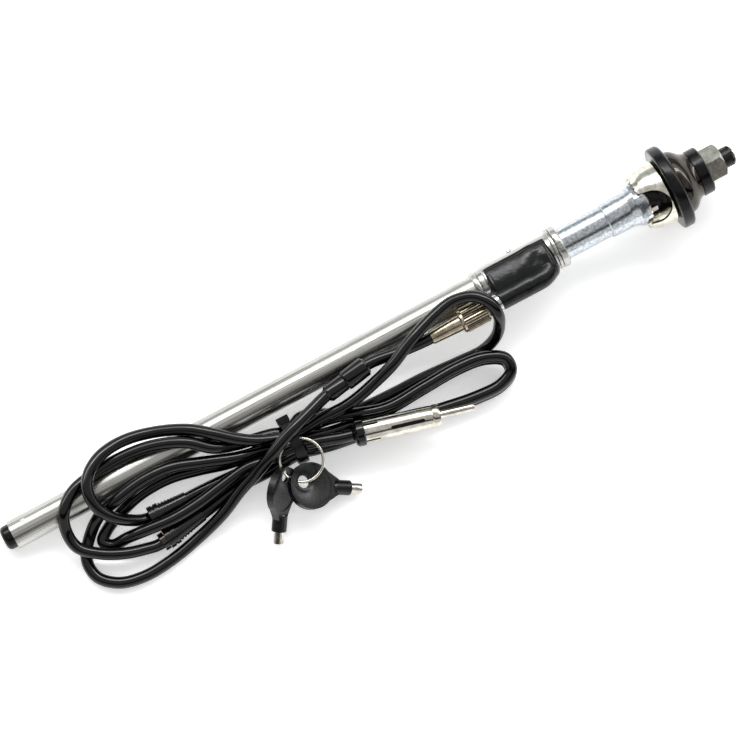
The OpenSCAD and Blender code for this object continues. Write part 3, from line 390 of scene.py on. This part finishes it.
# The lead: a round tube along the same points as the CAD's route, in millimetres from the
# mast's tail along X, rounded between them
ROUTE = [
    (191.43, -9.526, 18.786), (182.44, -9.526, 18.429), (171, -8.8, 18.5), (156, -7.3, 19.3),
    (136.5, -10.7, 19.3), (126, -14.2, 20.6), (116, -17.6, 21.2), (107, -21.3, 19),
    (98, -24.4, 13.8), (90, -26.8, 9.8), (80, -31, 6), (68, -34.2, 2.5), (54, -37.2, 2.4),
    (42, -37.9, 2.4), (32, -35.5, 2.4), (25.5, -29.5, 2.4), (25, -21.5, 2.4), (30, -14.3, 3.4),
    (37, -9.6, 8.6), (46, -7.8, 12.6), (58, -6, 14.4), (70, -6.5, 14.4), (82, -10.2, 12.6),
    (95, -14.6, 10.6), (105, -16.4, 8.8), (111, -18, 8.7), (118, -19.5, 8.5), (124, -20.4, 8.6),
    (131, -22.2, 8), (143, -23.8, 6.9), (156, -25, 7.1), (172, -24.2, 7.1), (188, -23.6, 7.1),
    (199, -25, 7.1), (206, -29, 6), (206, -34, 4), (200, -36.8, 2.6), (190, -36.7, 2.4),
    (176, -34.6, 2.4), (160, -31.4, 2.4), (145, -28, 2.4), (131, -25.2, 2.5), (119.5, -22, 4.2),
    (105, -20.6, 4.3), (92, -19.4, 4.3), (76, -18.7, 4.3), (54, -18.7, 4.3), (47.5, -16.9, 8),
    (41, -12.9, 13.8), (37.5, -7, 17.4), (37.5, -0.5, 19.3), (41, 5.4, 19), (48.5, 9.9, 17.6),
    (59, 11.3, 15), (71, 8.8, 14.4), (83, 3, 17.2), (91, -3.2, 17.4), (98, -8.8, 15.6),
    (106, -13.6, 14.4), (118, -17, 12.8), (130, -16.9, 14.2), (143, -17.3, 16.6), (156, -14.8, 19.2),
    (165, -12.4, 22.7), (175, -7.8, 24.3), (187, -3.4, 23.8), (197, -1.6, 24.2), (205, -4.2, 26.4),
    (209.3, -9.6, 26.6), (210.2, -14, 24), (209.8, -16.6, 19), (207, -19.6, 11), (200.5, -21, 4.2),
    (190, -20.4, 2.4), (175, -19.5, 2.4), (160, -19.4, 2.4), (146, -18.6, 2.4), (137, -15.8, 2.6),
    (130, -12.4, 3.8), (124, -11.6, 7.4), (118, -14.4, 8.6), (111, -12.5, 9.2), (104, -11.1, 9.6),
    (96, -9.7, 11), (88, -7.4, 15), (80, -1.2, 17.5), (68, 4, 16), (54, 6.1, 13.8), (42, 5.3, 13.9),
    (32, 2.6, 15.1), (25.5, -3, 14.8), (23, -9.5, 10.4), (24, -16.5, 8), (30.5, -22.6, 7.9),
    (39, -27, 7.4), (47, -29, 5.6), (53, -29.8, 4.4), (76, -26.6, 4.4), (90, -24.4, 4.9),
    (104, -24.8, 7.3), (118, -24.4, 8.5), (124, -25.8, 8), (131, -27.2, 7.4), (145, -29.2, 7.3),
    (160, -31.4, 7.3), (176, -34.6, 7.3), (190, -36.7, 7.3), (200, -36.8, 7.5), (206, -34, 9.2),
    (206, -29, 11.2), (199, -25, 12), (188, -23.6, 12), (172, -24.2, 12), (156, -24.8, 12),
    (145, -21.6, 11.4), (138, -18.8, 10.2), (131, -17, 7.6), (124, -16.6, 5.2), (118, -17, 4.2),
    (104, -15, 4.1), (92, -14.3, 5.4), (79, -11.2, 7.4), (68, -9, 7.6), (56, -9.1, 6.6),
    (46, -11.3, 4), (37.5, -14.8, 2.6), (33.8, -18.2, 2.4), (36.4, -21.2, 2.9), (43.5, -22, 6.3),
    (52, -23.2, 8.7), (62, -24, 9.2), (74, -23.2, 9.2), (86, -21.3, 9.6), (97, -20, 10.4),
    (105, -21.2, 11), (111, -21.6, 12.3), (118, -22, 12.8), (127, -24.8, 14.2), (134, -27.3, 15),
    (139, -28.6, 15),
]
LEAD_D = 4.8
# Places between two points of the route, and flats round the tube
LEAD_STEPS = 6
LEAD_SIDES = 20


def rounded(points, steps):
    """A centripetal spline through the points: between two of them, a cubic whose slopes come
    from the neighbours' places and the square roots of the gaps, so that it never overshoots."""
    pts = np.array(points, float)
    ends = np.vstack([2 * pts[0] - pts[1], pts, 2 * pts[-1] - pts[-2]])
    a, b, c, d = (ends[k : k + len(pts) - 1, None] for k in range(4))
    ab, bc, cd = (
        np.sqrt(np.linalg.norm(v - u, axis=2, keepdims=True)) for u, v in ((a, b), (b, c), (c, d))
    )
    m1 = (c - b) + bc * ((b - a) / ab - (c - a) / (ab + bc))
    m2 = (c - b) + bc * ((d - c) / cd - (d - b) / (bc + cd))
    u = (np.arange(steps) / steps)[None, :, None]
    line = (
        (2 * u**3 - 3 * u**2 + 1) * b + (u**3 - 2 * u**2 + u) * m1
        + (3 * u**2 - 2 * u**3) * c + (u**3 - u**2) * m2
    )
    return np.vstack([line.reshape(-1, 3), pts[-1:]])


def swept(line, radius, sides):
    """A tube's points and faces: a circle of that radius about each place of the line. Each
    place's first direction is the last place's less its part along the line, made one long
    again, so that the circle turns as little as it can; the second is square to both."""
    tang = np.gradient(line, axis=0)
    tang /= np.linalg.norm(tang, axis=1)[:, None]
    way = np.cross(tang[0], (0, 0, 1))
    first = []
    for t in tang:
        way = way - t * way.dot(t)
        way = way / np.linalg.norm(way)
        first.append(way)
    first = np.array(first)
    second = np.cross(tang, first)
    ang = (np.arange(sides) * 2 * math.pi / sides)[None, :, None]
    points = line[:, None] + radius * (np.cos(ang) * first[:, None] + np.sin(ang) * second[:, None])
    ring = np.arange(len(line) * sides).reshape(-1, sides)
    after = np.roll(ring, -1, axis=1)
    walls = np.stack([ring[:-1], after[:-1], after[1:], ring[1:]], 2).reshape(-1, 4)
    return points.reshape(-1, 3), [*walls.tolist(), ring[0, ::-1].tolist(), ring[-1].tolist()]


centre = rounded(ROUTE, LEAD_STEPS) - (ORIGIN_X, 0, 0)
centre /= 1000
tube, tube_faces = swept(centre, LEAD_D / 2000, LEAD_SIDES)
# It is pressed flat where it touches the surface
tube[:, 2] = np.maximum(tube[:, 2], 0)
lead = make_mesh("lead_jacket_tube", tube, tube_faces, JACKET)
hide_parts("coax_lead")


def cover_shell():
    """The soft cover over the arm, in the arm's frame: stations along the mast by rays round it.
    For each ray from a middle point the reach is log(sum(exp(k * r))) / k, a soft maximum of
    the far cuts r with the casing's disc, the arm's disc and the web between them. The ends
    draw in by a rounded step, a fold dips across the face by a Gaussian of the distance to a
    slanting line, and a round dimple is pressed in near the upper end, both where the cover
    stands clear of the casing."""
    first, last = 213.35, 241.3
    x = np.linspace(first, last, 110)[:, None]
    ray = np.radians(np.linspace(-122, 122, 140))[None, :]
    middle = 3.6
    end = np.minimum(x - first, last - x)
    inset = 1.3 * np.clip(1 - end / 1.6, 0, 1) ** 2
    shoulder = np.clip((x - 231.5) / (last - 231.5), 0, 1)
    arm_out = ARM_REACH - 4.2 * shoulder**2.2
    arm_r = 4.2 - 0.8 * shoulder**2
    c, sn = np.cos(ray), np.sin(ray)

    def reach(centre, radius):
        off = centre - middle
        inside = radius**2 - (off * sn) ** 2
        return np.where(inside > 0, off * c + np.sqrt(np.clip(inside, 0, None)), 0.0)

    soft = 1.1
    parts = [reach(0 * x, 7.9), reach(arm_out, arm_r), 6.3 + 0.9 * c + 0 * x]
    total = np.log(sum(np.exp(soft * part) for part in parts)) / soft - 0.35 - inset
    out = middle + total * c
    face = np.clip(sn, 0, 1)
    slant = (x - 230.5) * 0.80 + (out - 9.0) * 0.60
    dip = 0.8 * np.exp(-((slant / 1.7) ** 2))
    swell = 0.35 * np.exp(-(((slant + 3.8) / 2.2) ** 2))
    dimple = 0.6 * np.exp(-((x - 236.6) ** 2 + (out - 7.6) ** 2) / 3.0)
    border = 0.16 * (np.exp(-(((out + 0.2) / 0.3) ** 2)) + np.exp(-(((x - 215.3) / 0.3) ** 2)))
    clear = np.clip((out - 2.5) / 4.0, 0, 1)
    total = total - ((dip + dimple) * clear + border - swell) * face
    # The inside follows the casing, a little way into its wall, so that the cover is a closed ring
    back = ray[:, ::-1]
    c, sn = np.cos(back), np.sin(back)
    total = np.hstack([total, reach(0 * x, 7.0)])
    ray = np.hstack([ray, back])
    return x + 0 * ray, total * np.sin(ray), middle + total * np.cos(ray)


def outward(o):
    """Turns every face of a closed piece outwards."""
    work = bmesh.new()
    work.from_mesh(o.data)
    bmesh.ops.recalc_face_normals(work, faces=work.faces)
    work.to_mesh(o.data)
    work.free()


def add_cover():
    x, side, out = cover_shell()
    y = side * math.cos(ARM_TURN) - out * math.sin(ARM_TURN)
    z = side * math.sin(ARM_TURN) + out * math.cos(ARM_TURN)
    c, s = math.cos(TILT), math.sin(TILT)
    grid = np.stack([x * c - z * s - ORIGIN_X, y, AXIS_Z + x * s + z * c], 2) / 1000
    n, m = x.shape
    i, j = np.meshgrid(np.arange(n - 1), np.arange(m), indexing="ij")
    k = (j + 1) % m
    faces = np.stack([i * m + j, (i + 1) * m + j, (i + 1) * m + k, i * m + k], 2)
    faces = faces.reshape(-1, 4).tolist()
    # Each end is a strip between the outside and the inside, ray by ray
    j = np.arange(m // 2 - 1)
    for row in (0, n - 1):
        faces += (row * m + np.stack([j, j + 1, m - 2 - j, m - 1 - j], 1)).tolist()
    cover = make_mesh("soft_arm_cover", grid.reshape(-1, 3), faces, boot_cover(), sharp=50)
    outward(cover)
    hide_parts("arm_boot")


add_cover()

# Stage: a pale floor, white beyond it, one narrow lamp, and a room of light and dark that the
# metal mirrors
def flat(name, corners, mat):
    me = bpy.data.meshes.new(name)
    me.from_pydata(corners, [], [(0, 1, 2, 3)])
    o = bpy.data.objects.new(name, me)
    me.materials.append(mat)
    bpy.context.scene.collection.objects.link(o)
    return o


def floor_material():
    """White board. To the camera, and in metal, it is lifted to full white where nothing
    shades it, so that only the soft contact shadow shows."""
    m = Mat("white_floor")
    m.set("Base Color", rgb("f2f2f2"))
    m.set("Roughness", 0.85)
    m.set("Specular IOR Level", 0.0)
    path = m.node("ShaderNodeLightPath").outputs
    seen = path["Is Camera Ray"]
    for ray in ("Is Glossy Ray", "Is Transmission Ray"):
        seen = m.node("ShaderNodeMath", operation="MAXIMUM", in_0=seen, in_1=path[ray]).outputs[0]
    lift = m.node("ShaderNodeMath", operation="MULTIPLY", in_0=seen, in_1=FLOOR_LIFT)
    m.set("Emission Color", rgb("ffffff"))
    m.set("Emission Strength", lift.outputs[0])
    return m.mat


FLOOR_LIFT = 0.44
FLOOR_Z = float(cad_low[2]) - 0.00005
FLOOR_CORNERS = [(x, y, FLOOR_Z) for x, y in ((-3, -3), (3, -3), (3, 3), (-3, 3))]
flat("floor", FLOOR_CORNERS, floor_material())


def softbox(name, at, aim, width, height, power, code="ffffff"):
    data = bpy.data.lights.new(name, "AREA")
    data.shape = "RECTANGLE"
    data.size = width
    data.size_y = height
    data.energy = power
    data.color = rgb(code)[:3]
    o = bpy.data.objects.new(name, data)
    bpy.context.scene.collection.objects.link(o)
    turn = (Vector(aim) - Vector(at)).to_track_quat("-Z", "Y")
    o.matrix_world = Matrix.Translation(at) @ turn.to_matrix().to_4x4()
    return o


softbox("crisp_far", (0.35, 0.75, 1.3), (0, 0, 0), 0.9, 0.06, 3)


def white_studio():
    """White beyond the floor to the camera. To everything else, a room whose light depends on
    the angle from the near horizon over the top to the far one: a pale wall, a dark strip, a
    plain ceiling, a broad soft box with a narrow brighter tube in it, and a dim greenish far
    wall. It falls off to the sides."""
    w = bpy.data.worlds.new("white_studio")
    bpy.context.scene.world = w
    w.use_nodes = True
    t = w.node_tree
    t.nodes.clear()

    def node(kind, **values):
        n = t.nodes.new(kind)
        for key, value in values.items():
            setattr(n, key, value)
        return n

    def dot(vector, direction):
        n = node("ShaderNodeVectorMath", operation="DOT_PRODUCT")
        t.links.new(vector, n.inputs[0])
        n.inputs[1].default_value = direction
        return n.outputs["Value"]

    way = node("ShaderNodeTexCoord").outputs["Generated"]
    near = dot(way, (-0.4695, -0.8829, 0))
    side = dot(way, (0.8829, -0.4695, 0))
    high = dot(way, (0, 0, 1))
    angle = node("ShaderNodeMath", operation="ARCTAN2")
    t.links.new(high, angle.inputs[0])
    t.links.new(near, angle.inputs[1])
    part = node("ShaderNodeMath", operation="DIVIDE")
    t.links.new(angle.outputs[0], part.inputs[0])
    part.inputs[1].default_value = math.pi
    ramp = node("ShaderNodeValToRGB")
    t.links.new(part.outputs[0], ramp.inputs[0])
    levels = [
        (0.0, 0.075), (0.2, 0.075),
        (0.235, 0.004), (0.31, 0.004),
        (0.36, 0.05), (0.61, 0.055),
        (0.655, 0.2), (0.69, 0.2), (0.7, 1.0), (0.72, 1.0), (0.73, 0.2), (0.8, 0.2),
        (0.85, 0.04), (1.0, 0.05),
    ]
    stops = [(place, (v, v, v) if place < 0.83 else (0.9 * v, v, 0.99 * v)) for place, v in levels]
    while len(ramp.color_ramp.elements) < len(stops):
        ramp.color_ramp.elements.new(0.5)
    for e, (place, c) in zip(ramp.color_ramp.elements, stops):
        e.position = place
        e.color = c + (1.0,)
    wide = node("ShaderNodeMath", operation="ABSOLUTE")
    t.links.new(side, wide.inputs[0])
    fade = node("ShaderNodeMapRange", interpolation_type="SMOOTHSTEP")
    t.links.new(wide.outputs[0], fade.inputs[0])
    for k, v in ((1, 0.78), (2, 0.92), (3, ROOM_LIGHT), (4, 0.45 * ROOM_LIGHT)):
        fade.inputs[k].default_value = v
    room = node("ShaderNodeBackground")
    t.links.new(ramp.outputs[0], room.inputs[0])
    t.links.new(fade.outputs[0], room.inputs[1])
    seen = node("ShaderNodeBackground")
    seen.inputs[0].default_value = (1, 1, 1, 1)
    mix = node("ShaderNodeMixShader")
    t.links.new(node("ShaderNodeLightPath").outputs["Is Camera Ray"], mix.inputs[0])
    t.links.new(room.outputs[0], mix.inputs[1])
    t.links.new(seen.outputs[0], mix.inputs[2])
    t.links.new(mix.outputs[0], node("ShaderNodeOutputWorld").inputs[0])


ROOM_LIGHT = 11.2
white_studio()
